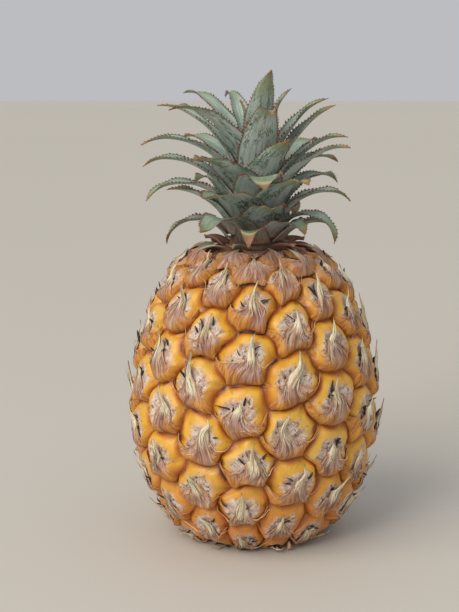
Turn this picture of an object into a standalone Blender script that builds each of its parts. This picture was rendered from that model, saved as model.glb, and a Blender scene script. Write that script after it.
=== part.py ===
"""A small pineapple standing on its base: the fruit, its crown of spiny leaves and the bracts between them.

Metres, +Z up. The origin is on the fruit's axis, on the surface that it stands on, and the front is at -Y.
An azimuth is measured round the axis from the front, positive towards +X.
"""

import math

import bmesh
import bpy
from mathutils import Vector

MM = 0.001

# ---- The fruit's skin, as (radius, height) of its outer envelope from the underside to the crown's seat.
SKIN_PROFILE_MM = (
    (15.0, 3.0), (20.5, 0.8), (27.0, 0.4), (34.0, 4.6), (39.8, 12.4), (44.7, 21.6), (48.3, 32.0),
    (50.6, 44.0), (51.2, 56.0), (50.4, 68.0), (48.2, 80.0), (44.8, 91.5), (40.6, 101.5),
    (36.2, 109.5), (30.6, 115.6), (23.5, 119.4), (15.0, 120.6),
)
PROFILE_STEPS = 24  # samples on each stretch of the profile
WIDEST_RADIUS = 51.2 * MM

# ---- The eyes: fruitlets on two families of spirals, EYES_LEFT one way and EYES_RIGHT the other.
EYE_COUNT = 106
EYES_LEFT = 7
EYES_RIGHT = 9
EYES_UP = EYES_LEFT + EYES_RIGHT  # the step from an eye to the one above it
EYE_DIVERGENCE = math.radians(202.55)
FIRST_EYE_AZIMUTH = math.radians(-74.5)
FIRST_EYE_ARC = 9.0 * MM  # along the profile
EYE_RISE = 1.35 * MM  # along the profile from one eye to the next, at the widest radius
EYE_RISE_TAPER = 0.3  # how far the rise shrinks with the radius
# degrees that each of the EYES_LEFT spirals stands askew
SPIRAL_TURNS = (2.0, 4.5, 0.0, -4.5, 0.0, 0.0, -2.0)
EYE_RELIEF = 3.0 * MM  # from the rim of an eye down to the groove
RIM_SHARE = 0.74  # of the way from an eye's centre to its groove
KEEL_SHARE = 0.24
SPINE_OUT = 3.2 * MM  # the bract's spine on each eye
SPINE_UP = 4.6 * MM

# ---- The cut stalk underneath, and the seat of the crown on top.
STALK_RADIUS = 12.0 * MM
STALK_RECESS = 2.4 * MM
SEAT_RADIUS = 13.5 * MM
SEAT_HEIGHT = 120.6 * MM
# (radius, height) of the rings that carry the skin in to the stalk, and of those that carry it to the seat
STALK_RINGS = (
    (STALK_RADIUS + 1.5 * MM, STALK_RECESS + 0.6 * MM),
    (STALK_RADIUS, STALK_RECESS),
    (STALK_RADIUS, 0.0),
)
SEAT_RINGS = ((SEAT_RADIUS + 3.0 * MM, SEAT_HEIGHT - 0.6 * MM), (SEAT_RADIUS, SEAT_HEIGHT))
WELD = 0.02 * MM  # points of neighbouring eyes nearer than this are one point

GAP = 0.35 * MM  # left between pieces that touch

# ---- The crown's stem, as (radius, height above the seat) from the tip down.
CROWN_STEM_MM = ((1.2, 25.0), (2.4, 24.0), (5.0, 19.0), (7.6, 12.0), (9.6, 5.0), (10.4, 1.0), (10.6, 0.0))
CROWN_STEM_STEPS = 20  # flats round the stem

# ---- Crown leaves lie on nested surfaces of revolution, one for each level, so that no leaf cuts another.
# level, radius and height of the base in mm, start and end lean from the vertical in degrees, length in mm
LEVELS = (
    (0.00, 12.2, 2.6, 36.0, 158.0, 30.0),
    (0.15, 11.4, 5.6, 27.0, 150.0, 33.0),
    (0.30, 10.4, 9.0, 24.0, 130.0, 38.0),
    (0.50, 8.8, 13.4, 19.0, 108.0, 47.0),
    (0.65, 7.4, 16.8, 17.0, 98.0, 48.0),
    (0.80, 5.8, 20.0, 13.0, 72.0, 50.0),
    (0.90, 4.6, 22.2, 10.0, 52.0, 50.0),
    (1.00, 3.2, 24.6, 5.0, 26.0, 49.0),
    (1.10, 1.6, 26.6, 1.0, 10.0, 34.0),
)

# Leaves from the lowest to the innermost, evenly spread over the levels: azimuth in degrees, length as a
# share of its level's, half width in mm, drift of the tip in degrees, and extra end lean in degrees.
LEAVES = (
    (-4, 0.90, 7.5, 0, -20), (72, 0.80, 8.0, 3, -25), (182, 0.95, 9.0, 4, 0), (-90, 1.00, 7.0, 0, 10),
    (40, 0.75, 9.0, -2, 10), (148, 0.95, 9.0, 4, -5), (-36, 0.95, 9.0, 4, 10), (62, 1.00, 7.5, 0, 20),
    (214, 0.90, 9.0, -4, 0), (16, 0.75, 10.0, -4, -5), (-85, 0.85, 9.0, 0, -30), (172, 1.00, 10.0, 4, 0),
    (88, 0.90, 9.0, 0, 0), (-26, 0.95, 12.0, -2, 0), (216, 1.00, 10.0, 0, 0), (122, 0.95, 9.5, 2, 0),
    (-74, 1.00, 10.0, -2, 15), (40, 0.75, 11.0, -4, 10), (208, 1.00, 10.0, 4, 0), (134, 1.00, 10.0, -4, 0),
    (6, 1.05, 10.5, -2, 20), (-92, 1.00, 10.0, -3, 5), (78, 0.90, 10.5, 2, -15), (-34, 0.85, 12.5, -4, 5),
    (142, 1.00, 10.0, 0, 0), (220, 1.00, 10.0, 4, 0), (90, 0.90, 10.5, -2, -5), (178, 1.00, 10.0, -4, 0),
    (30, 0.65, 12.0, 5, -5), (-78, 1.05, 10.0, -2, 25), (98, 0.95, 9.5, 0, -10), (-164, 0.90, 7.0, -2, -5),
    (10, 1.00, 10.5, 2, -5), (-104, 1.10, 7.0, -4, 20), (101, 0.95, 9.0, 0, 10), (-46, 1.20, 10.0, 0, 35),
    (-132, 1.20, 8.0, -3, 35), (14, 1.05, 10.0, 4, 5), (104, 0.90, 7.0, 0, 5), (-152, 1.20, 7.0, -4, 35),
    (-50, 0.90, 6.0, 0, 0), (76, 0.80, 5.0, 0, 0),
)
LEAF_THICKNESS = 0.6 * MM
LEAF_CHANNEL = 0.9 * MM  # how far a leaf's margins rise above its middle
LEAF_ROWS = 7
LEAF_COLUMNS = 4
BASE_WRAP = math.radians(24.0)  # the half angle that a leaf's base may wrap round the stem
WRAP_GROWTH = math.radians(105.0)  # and how fast it grows with the share of the length
LEAF_TIP_SHARE = 0.06

# ---- Bracts standing on the shoulder round the crown.
COLLAR_COUNT = 10
COLLAR_ROWS = 3
COLLAR_RADIUS = 16.2 * MM
COLLAR_HEIGHT = 121.4 * MM
COLLAR_LENGTH = 10.0 * MM
COLLAR_HALF_WIDTH = 4.6 * MM
COLLAR_LEANS = (math.radians(22.0), math.radians(78.0))
COLLAR_FIRST_AZIMUTH = math.radians(6.0)

MATERIALS = {  # name: colour, roughness
    "fruit_skin": ((0.78, 0.42, 0.06), 0.42),
    "crown_leaf": ((0.30, 0.38, 0.27), 0.60),
    "collar_bract": ((0.55, 0.33, 0.24), 0.75),
    "crown_stem": ((0.62, 0.60, 0.40), 0.70),
}


def clear_scene():
    for obj in list(bpy.data.objects):
        bpy.data.objects.remove(obj)


def material(name):
    found = bpy.data.materials.get(name)
    if found:
        return found
    colour, roughness = MATERIALS[name]
    made = bpy.data.materials.new(name)
    made.use_nodes = True
    shader = made.node_tree.nodes["Principled BSDF"]
    shader.inputs["Base Color"].default_value = (*colour, 1.0)
    shader.inputs["Roughness"].default_value = roughness
    shader.inputs["Metallic"].default_value = 0.0
    return made


def add_object(name, mesh, collection, material_name):
    obj = bpy.data.objects.new(name, mesh)
    obj.data.materials.append(material(material_name))
    collection.objects.link(obj)
    return obj


def around(azimuth, radius, height):
    """The point at that azimuth, radius and height."""
    return Vector((radius * math.sin(azimuth), -radius * math.cos(azimuth), height))


# ---------------------------------------------------------------- the fruit's profile


def smooth_profile(stations):
    """(arc length, radius, height) along a Catmull-Rom curve through the stations."""
    points = [Vector(station) * MM for station in stations]
    ends = [points[0] * 2 - points[1]] + points + [points[-1] * 2 - points[-2]]
    line = []
    for a, b, c, d in zip(ends, ends[1:], ends[2:], ends[3:]):
        for step in range(PROFILE_STEPS):
            t = step / PROFILE_STEPS
            slope = (c - a) * t
            bow = (2 * a - 5 * b + 4 * c - d) * t**2
            twist = (3 * b - a - 3 * c + d) * t**3
            line.append((2 * b + slope + bow + twist) / 2)
    line.append(points[-1])
    arcs = [0.0]
    for before, after in zip(line, line[1:]):
        arcs.append(arcs[-1] + (after - before).length)
    return [(arc, point.x, point.y) for arc, point in zip(arcs, line)]


PROFILE = smooth_profile(SKIN_PROFILE_MM)


def profile_at(arc):
    """Radius, height and outward normal of the envelope, which runs on straight past its ends."""
    last = len(PROFILE) - 2
    low, high = 0, last
    while low < high:
        middle = (low + high + 1) // 2
        if PROFILE[middle][0] <= arc:
            low = middle
        else:
            high = middle - 1
    (arc_a, r_a, z_a), (arc_b, r_b, z_b) = PROFILE[low], PROFILE[low + 1]
    share = (arc - arc_a) / (arc_b - arc_a)
    tangent = Vector((r_b - r_a, z_b - z_a)).normalized()
    return r_a + (r_b - r_a) * share, z_a + (z_b - z_a) * share, tangent.y, -tangent.x


def skin_point(azimuth, arc, lift=0.0, climb=0.0):
    """A point of the skin, lifted off it along its normal and shifted up along the profile."""
    radius, height, normal_r, normal_z = profile_at(arc)
    radius += normal_r * lift - normal_z * climb
    height += normal_z * lift + normal_r * climb
    return around(azimuth, radius, max(height, 0.0))


# ---------------------------------------------------------------- the eyes


def eye_arcs():
    """Arc length of each eye's centre, from EYES_UP below the first to EYES_UP above the last."""
    arcs = {0: FIRST_EYE_ARC}
    for index in range(EYE_COUNT + EYES_UP):
        taper = (profile_at(arcs[index])[0] / WIDEST_RADIUS) ** EYE_RISE_TAPER
        arcs[index + 1] = arcs[index] + EYE_RISE * taper
    for index in range(0, -EYES_UP - 1, -1):
        taper = (profile_at(arcs[index])[0] / WIDEST_RADIUS) ** EYE_RISE_TAPER
        arcs[index - 1] = arcs[index] - EYE_RISE * taper
    return arcs


EYE_ARCS = eye_arcs()


def eye_azimuth(index):
    return FIRST_EYE_AZIMUTH + index * EYE_DIVERGENCE + math.radians(SPIRAL_TURNS[index % EYES_LEFT])


def eye_outline(index):
    """Twelve points of an eye's six-sided outline, as azimuth and arc length offsets from its centre."""
    steps = (-EYES_LEFT, -EYES_UP, -EYES_RIGHT, EYES_LEFT, EYES_UP, EYES_RIGHT)
    offsets = []
    for step in steps:
        turn = math.remainder(eye_azimuth(index + step) - eye_azimuth(index), 2 * math.pi)
        offsets.append(Vector((turn, EYE_ARCS[index + step] - EYE_ARCS[index])))
    corners = [(offsets[i] + offsets[(i + 1) % 6]) / 3 for i in range(6)]
    outline = []
    for i, corner in enumerate(corners):
        outline += [corner, (corner + corners[(i + 1) % 6]) / 2]
    return outline


def add_eye(bm, index):
    """One fruitlet: its groove, its plump rim, and the bract's spine rising from its middle."""
    azimuth = eye_azimuth(index)
    arc = EYE_ARCS[index]
    outline = eye_outline(index)

    def ring(offsets, share, lift):
        return [bm.verts.new(skin_point(azimuth + o.x * share, arc + o.y * share, lift)) for o in offsets]

    groove = ring(outline, 1.0, -EYE_RELIEF)
    rim = ring(outline, RIM_SHARE, 0.0)
    keel = ring(outline[::2], KEEL_SHARE, -0.2 * EYE_RELIEF)
    spine = bm.verts.new(skin_point(azimuth, arc, SPINE_OUT, SPINE_UP))
    for i in range(12):
        after = (i + 1) % 12
        bm.faces.new((groove[i], groove[after], rim[after], rim[i]))
    for i in range(6):
        after = (i + 1) % 6
        bm.faces.new((rim[2 * i], rim[2 * i + 1], keel[i]))
        bm.faces.new((rim[2 * i + 1], rim[(2 * i + 2) % 12], keel[after]))
        bm.faces.new((rim[2 * i + 1], keel[after], keel[i]))
        bm.faces.new((keel[i], keel[after], spine))


def open_loops(bm):
    """The open edge loops of the skin, as lists of vertices in order."""
    left = {edge for edge in bm.edges if edge.is_boundary}
    loops = []
    while left:
        edge = left.pop()
        loop = [edge.verts[0], edge.verts[1]]
        while True:
            following = next((e for e in loop[-1].link_edges if e in left), None)
            if following is None:
                break
            left.remove(following)
            loop.append(following.other_vert(loop[-1]))
        loops.append(loop[:-1] if loop[0] == loop[-1] else loop)
    return loops


def close_end(bm, loop, rings):
    """Joins an open end of the skin to round rings of (radius, height), and fills the last one flat."""
    first_azimuth = math.atan2(loop[0].co.x, -loop[0].co.y)
    turned = sum(
        math.remainder(math.atan2(b.co.x, -b.co.y) - math.atan2(a.co.x, -a.co.y), 2 * math.pi)
        for a, b in zip(loop, loop[1:])
    )
    step = math.copysign(2 * math.pi / len(loop), turned)
    before = loop
    for radius, height in rings:
        after = [bm.verts.new(around(first_azimuth + i * step, radius, height)) for i in range(len(loop))]
        for i in range(len(loop)):
            j = (i + 1) % len(loop)
            bm.faces.new((before[i], before[j], after[j], after[i]))
        before = after
    bm.faces.new(before)


def build_fruit(collection):
    bm = bmesh.new()
    for index in range(EYE_COUNT):
        add_eye(bm, index)
    bmesh.ops.remove_doubles(bm, verts=bm.verts, dist=WELD)
    loops = sorted(open_loops(bm), key=lambda loop: sum(v.co.z for v in loop) / len(loop))
    close_end(bm, loops[0], STALK_RINGS)
    close_end(bm, loops[1], SEAT_RINGS)
    bmesh.ops.recalc_face_normals(bm, faces=bm.faces)
    mesh = bpy.data.meshes.new("fruit")
    bm.to_mesh(mesh)
    bm.free()
    return add_object("fruit", mesh, collection, "fruit_skin")


# ---------------------------------------------------------------- the crown


def build_crown_stem(collection):
    """A turned stub that the leaves stand on."""
    foot = SEAT_HEIGHT + GAP
    outline = [(0.0, foot + CROWN_STEM_MM[0][1] * MM)]
    outline += [(radius * MM, foot + height * MM) for radius, height in CROWN_STEM_MM]
    outline.append((0.0, foot))
    mesh = bpy.data.meshes.new("crown_stem")
    mesh.from_pydata([(r, 0.0, z) for r, z in outline], [(i, i + 1) for i in range(len(outline) - 1)], [])
    obj = add_object("crown_stem", mesh, collection, "crown_stem")
    turn = obj.modifiers.new("turn", "SCREW")
    turn.steps = CROWN_STEM_STEPS
    turn.render_steps = CROWN_STEM_STEPS
    turn.use_merge_vertices = True
    turn.merge_threshold = WELD
    return obj


def level_at(level):
    """Base radius and height, start and end lean, and length of the curve of a leaf at that level."""
    for low, high in zip(LEVELS, LEVELS[1:]):
        if level <= high[0]:
            share = (level - low[0]) / (high[0] - low[0])
            radius, height, start, end, length = (a + (b - a) * share for a, b in zip(low[1:], high[1:]))
            return radius * MM, height * MM, math.radians(start), math.radians(end), length * MM
    return level_at(LEVELS[-1][0])


def bend(radius, height, start, end, length, along):
    """Radius, height and lean at a distance along a curve that bends evenly from one lean to another."""
    lean = start + (end - start) * along / length
    rate = (end - start) / length
    outwards = (math.cos(start) - math.cos(lean)) / rate
    upwards = (math.sin(lean) - math.sin(start)) / rate
    return radius + outwards, height + upwards, lean


def leaf_half_width(share, widest):
    """A leaf's half width at a share of its length: broad at the base, then tapering to a point."""
    taper = max(1.0 - share, 0.0) ** 0.85 * (1.0 + 0.4 * share)
    return widest * max(taper, LEAF_TIP_SHARE)


def build_leaf(name, azimuth, drift, curve, length, widest, foot, rows, collection, material_name):
    """A channelled blade on a surface of revolution: a grid bent into place, then thickened."""
    bm = bmesh.new()
    bmesh.ops.create_grid(bm, x_segments=LEAF_COLUMNS, y_segments=rows, size=1.0)
    shares = {}
    for vert in bm.verts:
        across, share = vert.co.x, (vert.co.y + 1) / 2
        radius, height, lean = bend(*curve, share * length)
        half_angle = min(leaf_half_width(share, widest) / radius, BASE_WRAP + share * WRAP_GROWTH)
        rise = LEAF_CHANNEL * across**2 * math.sin(math.pi * min(share, 0.5))
        angle = azimuth + drift * share**2 + across * half_angle
        vert.co = around(angle, radius - math.cos(lean) * rise, foot + height + math.sin(lean) * rise)
        shares[vert.index] = 1.0 - 0.4 * share - 0.25 * abs(across)
    mesh = bpy.data.meshes.new(name)
    bm.to_mesh(mesh)
    bm.free()
    obj = add_object(name, mesh, collection, material_name)
    group = obj.vertex_groups.new(name="fullness")
    for index, weight in shares.items():
        group.add([index], weight, "REPLACE")
    shell = obj.modifiers.new("thickness", "SOLIDIFY")
    shell.thickness = LEAF_THICKNESS
    shell.offset = 0.0
    shell.vertex_group = "fullness"
    return obj


def build_crown_leaves(collection):
    foot = SEAT_HEIGHT + GAP
    for number, (azimuth, length_share, half_width, drift, extra_lean) in enumerate(LEAVES):
        radius, height, start, end, length = level_at(number / (len(LEAVES) - 1) * LEVELS[-1][0])
        build_leaf(
            f"crown_leaf_{number + 1:02d}",
            math.radians(azimuth),
            math.radians(drift),
            (radius, height, start, end + math.radians(extra_lean), length),
            length * length_share,
            half_width * MM,
            foot,
            LEAF_ROWS,
            collection,
            "crown_leaf",
        )


def build_collar(collection):
    """The papery bracts that ring the crown's foot."""
    curve = (COLLAR_RADIUS, 0.0, *COLLAR_LEANS, COLLAR_LENGTH)
    for number in range(COLLAR_COUNT):
        build_leaf(
            f"collar_bract_{number + 1:02d}",
            COLLAR_FIRST_AZIMUTH + number * 2 * math.pi / COLLAR_COUNT,
            0.0,
            curve,
            COLLAR_LENGTH,
            COLLAR_HALF_WIDTH,
            COLLAR_HEIGHT,
            COLLAR_ROWS,
            collection,
            "collar_bract",
        )


def main():
    clear_scene()
    collection = bpy.data.collections.new("pineapple")
    bpy.context.scene.collection.children.link(collection)
    build_fruit(collection)
    build_crown_stem(collection)
    build_collar(collection)
    build_crown_leaves(collection)


main()
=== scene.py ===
"""The looks of a small ripe pineapple: its skin of eyes, their dry bracts, and the crown of toothed leaves.

Everything is in metres in the frame's own axes: +Z up, the front at -Y. An azimuth is measured round
the fruit's axis from the front, positive towards +X. An arc is a length along the fruit's profile, from
its underside up.
"""

import math
import random

import bmesh
import bpy
import numpy as np
from mathutils import Matrix, Vector, noise


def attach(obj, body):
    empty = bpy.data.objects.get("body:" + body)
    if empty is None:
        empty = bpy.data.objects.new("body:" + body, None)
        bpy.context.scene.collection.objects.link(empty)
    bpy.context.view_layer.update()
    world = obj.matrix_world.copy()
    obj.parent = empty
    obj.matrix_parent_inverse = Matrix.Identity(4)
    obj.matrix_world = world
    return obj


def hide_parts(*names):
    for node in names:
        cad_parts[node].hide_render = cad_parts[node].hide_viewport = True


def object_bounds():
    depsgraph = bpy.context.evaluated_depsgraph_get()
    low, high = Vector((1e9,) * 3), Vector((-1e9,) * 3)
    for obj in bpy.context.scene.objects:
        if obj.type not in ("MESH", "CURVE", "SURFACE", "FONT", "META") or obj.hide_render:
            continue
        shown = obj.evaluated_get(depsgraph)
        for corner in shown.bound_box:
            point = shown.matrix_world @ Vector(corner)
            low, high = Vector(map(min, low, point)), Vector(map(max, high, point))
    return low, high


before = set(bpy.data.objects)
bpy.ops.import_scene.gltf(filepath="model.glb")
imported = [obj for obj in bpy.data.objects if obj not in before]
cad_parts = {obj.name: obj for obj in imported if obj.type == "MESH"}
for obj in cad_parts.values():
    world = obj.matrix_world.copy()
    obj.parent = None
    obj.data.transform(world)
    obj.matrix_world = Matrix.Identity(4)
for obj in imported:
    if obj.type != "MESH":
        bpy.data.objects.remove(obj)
cad_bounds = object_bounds()

MM = 0.001

# ---------------------------------------------------------------- sizes shared with the solids

SKIN_PROFILE_MM = (
    (15.0, 3.0), (20.5, 0.8), (27.0, 0.4), (34.0, 4.6), (39.8, 12.4), (44.7, 21.6), (48.3, 32.0),
    (50.6, 44.0), (51.2, 56.0), (50.4, 68.0), (48.2, 80.0), (44.8, 91.5), (40.6, 101.5),
    (36.2, 109.5), (30.6, 115.6), (23.5, 119.4), (15.0, 120.6),
)
PROFILE_STEPS = 24
WIDEST_RADIUS = 51.2 * MM
EYE_COUNT = 106
EYES_LEFT = 7
EYES_RIGHT = 9
EYES_UP = EYES_LEFT + EYES_RIGHT
EYE_DIVERGENCE = math.radians(202.55)
FIRST_EYE_AZIMUTH = math.radians(-74.5)
FIRST_EYE_ARC = 9.0 * MM
EYE_RISE = 1.35 * MM
EYE_RISE_TAPER = 0.3
SPIRAL_TURNS = (2.0, 4.5, 0.0, -4.5, 0.0, 0.0, -2.0)  # degrees
STALK_RADIUS = 12.0 * MM
STALK_RECESS = 2.4 * MM
SEAT_RADIUS = 13.5 * MM
SEAT_HEIGHT = 120.6 * MM
CROWN_FOOT = SEAT_HEIGHT + 0.35 * MM

# level, radius and height of the base in mm, start and end lean from the vertical in degrees, length in mm
LEVELS = (
    (0.00, 12.2, 2.6, 36.0, 158.0, 30.0),
    (0.15, 11.4, 5.6, 27.0, 150.0, 33.0),
    (0.30, 10.4, 9.0, 24.0, 130.0, 38.0),
    (0.50, 8.8, 13.4, 19.0, 108.0, 47.0),
    (0.65, 7.4, 16.8, 17.0, 98.0, 48.0),
    (0.80, 5.8, 20.0, 13.0, 72.0, 50.0),
    (0.90, 4.6, 22.2, 10.0, 52.0, 50.0),
    (1.00, 3.2, 24.6, 5.0, 26.0, 49.0),
    (1.10, 1.6, 26.6, 1.0, 10.0, 34.0),
)
# azimuth in degrees, length as a share of its level's, half width in mm, then the drift of the tip and the
# extra end lean in degrees
LEAVES = (
    (-4, 0.90, 7.5, 0, -20), (72, 0.80, 8.0, 3, -25), (182, 0.95, 9.0, 4, 0), (-90, 1.00, 7.0, 0, 10),
    (40, 0.75, 9.0, -2, 10), (148, 0.95, 9.0, 4, -5), (-36, 0.95, 9.0, 4, 10), (62, 1.00, 7.5, 0, 20),
    (214, 0.90, 9.0, -4, 0), (16, 0.75, 10.0, -4, -5), (-85, 0.85, 9.0, 0, -30), (172, 1.00, 10.0, 4, 0),
    (88, 0.90, 9.0, 0, 0), (-26, 0.95, 12.0, -2, 0), (216, 1.00, 10.0, 0, 0), (122, 0.95, 9.5, 2, 0),
    (-74, 1.00, 10.0, -2, 15), (40, 0.75, 11.0, -4, 10), (208, 1.00, 10.0, 4, 0), (134, 1.00, 10.0, -4, 0),
    (6, 1.05, 10.5, -2, 20), (-92, 1.00, 10.0, -3, 5), (78, 0.90, 10.5, 2, -15), (-34, 0.85, 12.5, -4, 5),
    (142, 1.00, 10.0, 0, 0), (220, 1.00, 10.0, 4, 0), (90, 0.90, 10.5, -2, -5), (178, 1.00, 10.0, -4, 0),
    (30, 0.65, 12.0, 5, -5), (-78, 1.05, 10.0, -2, 25), (98, 0.95, 9.5, 0, -10), (-164, 0.90, 7.0, -2, -5),
    (10, 1.00, 10.5, 2, -5), (-104, 1.10, 7.0, -4, 20), (101, 0.95, 9.0, 0, 10), (-46, 1.20, 10.0, 0, 35),
    (-132, 1.20, 8.0, -3, 35), (14, 1.05, 10.0, 4, 5), (104, 0.90, 7.0, 0, 5), (-152, 1.20, 7.0, -4, 35),
    (-50, 0.90, 6.0, 0, 0), (76, 0.80, 5.0, 0, 0),
)
COLLAR_COUNT = 10
COLLAR_RADIUS = 16.2 * MM
COLLAR_HEIGHT = 121.4 * MM
COLLAR_FIRST_AZIMUTH = math.radians(6.0)

# ---------------------------------------------------------------- sizes of the looks

SHOULDER_BRACTS = 15  # bracts above the last eye, with no eye of their own
SHOULDER_SPREAD = 1.5  # how much wider they are than bracts on eyes
FOOT_BRACTS = 8  # bracts below the first eye, round the stalk
FOOT_SPREAD = 1.3
FOOT_SUNK = 1.5 * MM
EDGE_STEPS = 6  # points along each side of an eye's outline
EYE_RINGS = (0.12, 0.25, 0.37, 0.47, 0.56, 0.64, 0.71, 0.77, 0.83, 0.88, 0.92, 0.96, 1.0)
GROOVE_DEPTH = 3.2 * MM
GROOVE_POWER = 6.0
CORNER_DEPTH = 0.35  # how much deeper the groove is where three eyes meet
CORNER_ROUND = 0.21  # how far the rim is rounded off towards a corner
PATCH_DIP = 1.0 * MM
PATCH_SHARES = (0.38, 0.66)
EYE_TILT = 0.9 * MM  # how far the lower half of an eye stands out
SKIN_LUMPS = 0.22 * MM

BRACT_COLUMNS = (0.0, 0.035, 0.08, 0.13, 0.19, 0.27, 0.36, 0.46, 0.57, 0.68, 0.79, 0.9, 1.0)
LARGE_KEELS = {100: 1.6, 89: 1.35, 66: 1.3}  # eyes whose keels stand out, and how much wider they are
WORN_KEELS = 0.3  # share of the keels that have worn short
BRACT_SINK = 1.8 * MM  # how far a side that clings goes under the rim
SIDE_COLUMNS = [-a for a in reversed(BRACT_COLUMNS[1:])] + list(BRACT_COLUMNS)
BRACT_ROWS = 12
BRACT_JAGS = 0.05  # unevenness of the free edge, as a share of the half height
# the free edge of a bract, from its keel to its side: share of the half width, share of the half height
BRACT_EDGE = (
    (0.0, 1.04), (0.035, 0.72), (0.08, 0.44), (0.13, 0.26), (0.19, 0.08), (0.27, -0.10), (0.36, -0.21),
    (0.46, -0.29), (0.57, -0.32), (0.68, -0.29), (0.79, -0.21), (0.9, -0.09), (1.0, 0.06),
)
BRACT_THICKNESS = 0.22 * MM
SPINE_OUT = 2.8 * MM
KEEL_RIDGE = 1.1 * MM
WANDER = 0.65 * MM  # how far the eyes' outlines stray from straight lines
PATCH_WRINKLES = 0.55 * MM
STALK, SCAR = 1, 2  # the skin's finishes after its rind
# rings that close the skin under the fruit and at the crown's seat: radius, height and finish
STALK_RINGS = (
    (STALK_RADIUS + 1.5 * MM, STALK_RECESS + 0.6 * MM, SCAR),
    (STALK_RADIUS, STALK_RECESS, SCAR),
    (STALK_RADIUS, 0.0, STALK),
)
SEAT_RINGS = ((SEAT_RADIUS + 3.0 * MM, SEAT_HEIGHT - 0.6 * MM, SCAR), (SEAT_RADIUS, SEAT_HEIGHT, SCAR))

FIBRES_PER_BRACT = 26
FIBRE_STEPS = 5
EDGE_STRAND_STEPS = 9
EDGES_WITHOUT_STRAND = 0.12
LONG_STRANDS_BELOW = 75.0 * MM  # arc length below which the strands grow longer
# a withered bract that hangs from the lowest eyes at the front: (radius, height) in mm, and its thickness
WITHERED_AZIMUTH = math.radians(25.0)
WITHERED_MM = ((33.0, 4.5), (33.6, 3.0), (33.2, 1.6), (32.0, 0.9), (31.2, 0.9))
WITHERED_THICKNESS_MM = (0.5, 0.9, 0.8, 0.6, 0.3)
FLORET_STEPS = 6
FLORETS_ON_A_BRACT = (0, 1, 2, 2, 3, 3)

LEAF_ROWS = 34
LEAF_COLUMNS = 12
LEAF_CHANNEL = 1.3 * MM
LEAF_THICKNESS = 0.7 * MM
TOOTH_SPACING = 1.5 * MM
TOOTH_LENGTH = 1.35 * MM
TEETH_FROM = 0.14  # share of a leaf's length where its teeth start, and where they end
TEETH_TO = 0.96
LEAF_WRAP = math.radians(58.0)
LEAF_WRAP_GROWTH = math.radians(120.0)
LEAF_WIDENING = 1.02
BROAD_LEAVES = (7, 10, 14, 18, 21, 24, 29, 33, 38)  # the clasping leaves of the front
BROAD_WIDENING = 1.18
OLD_BELOW = 0.35  # level below which leaves look old
DRY_TIPS = {1: 0.20, 18: 0.14, 21: 0.16, 14: 0.05, 2: 0.08}  # how far down a dry pale tip reaches
TIP_CURL_FROM = 0.72
# extra curl of the tip in degrees, for the leaves whose tips fold over
CURLED_TIPS = {1: 30, 2: 20, 7: -65, 10: -20, 14: -35, 18: 5, 21: -30, 24: 0, 29: 0, 33: 60, 36: 10, 40: 60}

COLLAR_ROWS = 10
COLLAR_COLUMNS = 8
COLLAR_THICKNESS = 0.3 * MM
COLLAR_START_LEAN = math.radians(40.0)
GREEN_COLLAR = (4, 5, 8, 9)  # the collar's bracts that are still green

FLOOR_HALF = 3.0
CAMERA_ELEVATION = math.radians(11.5)
CAMERA_DISTANCE = 0.597
CAMERA_DROP = 1.2 * MM
CAMERA_LENS = 85.0
CAMERA_SHIFT = -0.041

# ---------------------------------------------------------------- nodes written as expressions


class Socket:
    """A node's output. Operators on it add Math nodes, so that shader maths reads as an expression."""

    def __init__(self, graph, output):
        self.graph = graph
        self.output = output

    def __add__(self, other):
        return self.graph.maths("ADD", self, other)

    def __sub__(self, other):
        return self.graph.maths("SUBTRACT", self, other)

    def __rsub__(self, other):
        return self.graph.maths("SUBTRACT", other, self)

    def __mul__(self, other):
        return self.graph.maths("MULTIPLY", self, other)

    def __truediv__(self, other):
        return self.graph.maths("DIVIDE", self, other)

    def __pow__(self, other):
        return self.graph.maths("POWER", self, other)

    def __abs__(self):
        return self.graph.maths("ABSOLUTE", self)

    __radd__ = __add__
    __rmul__ = __mul__


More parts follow.
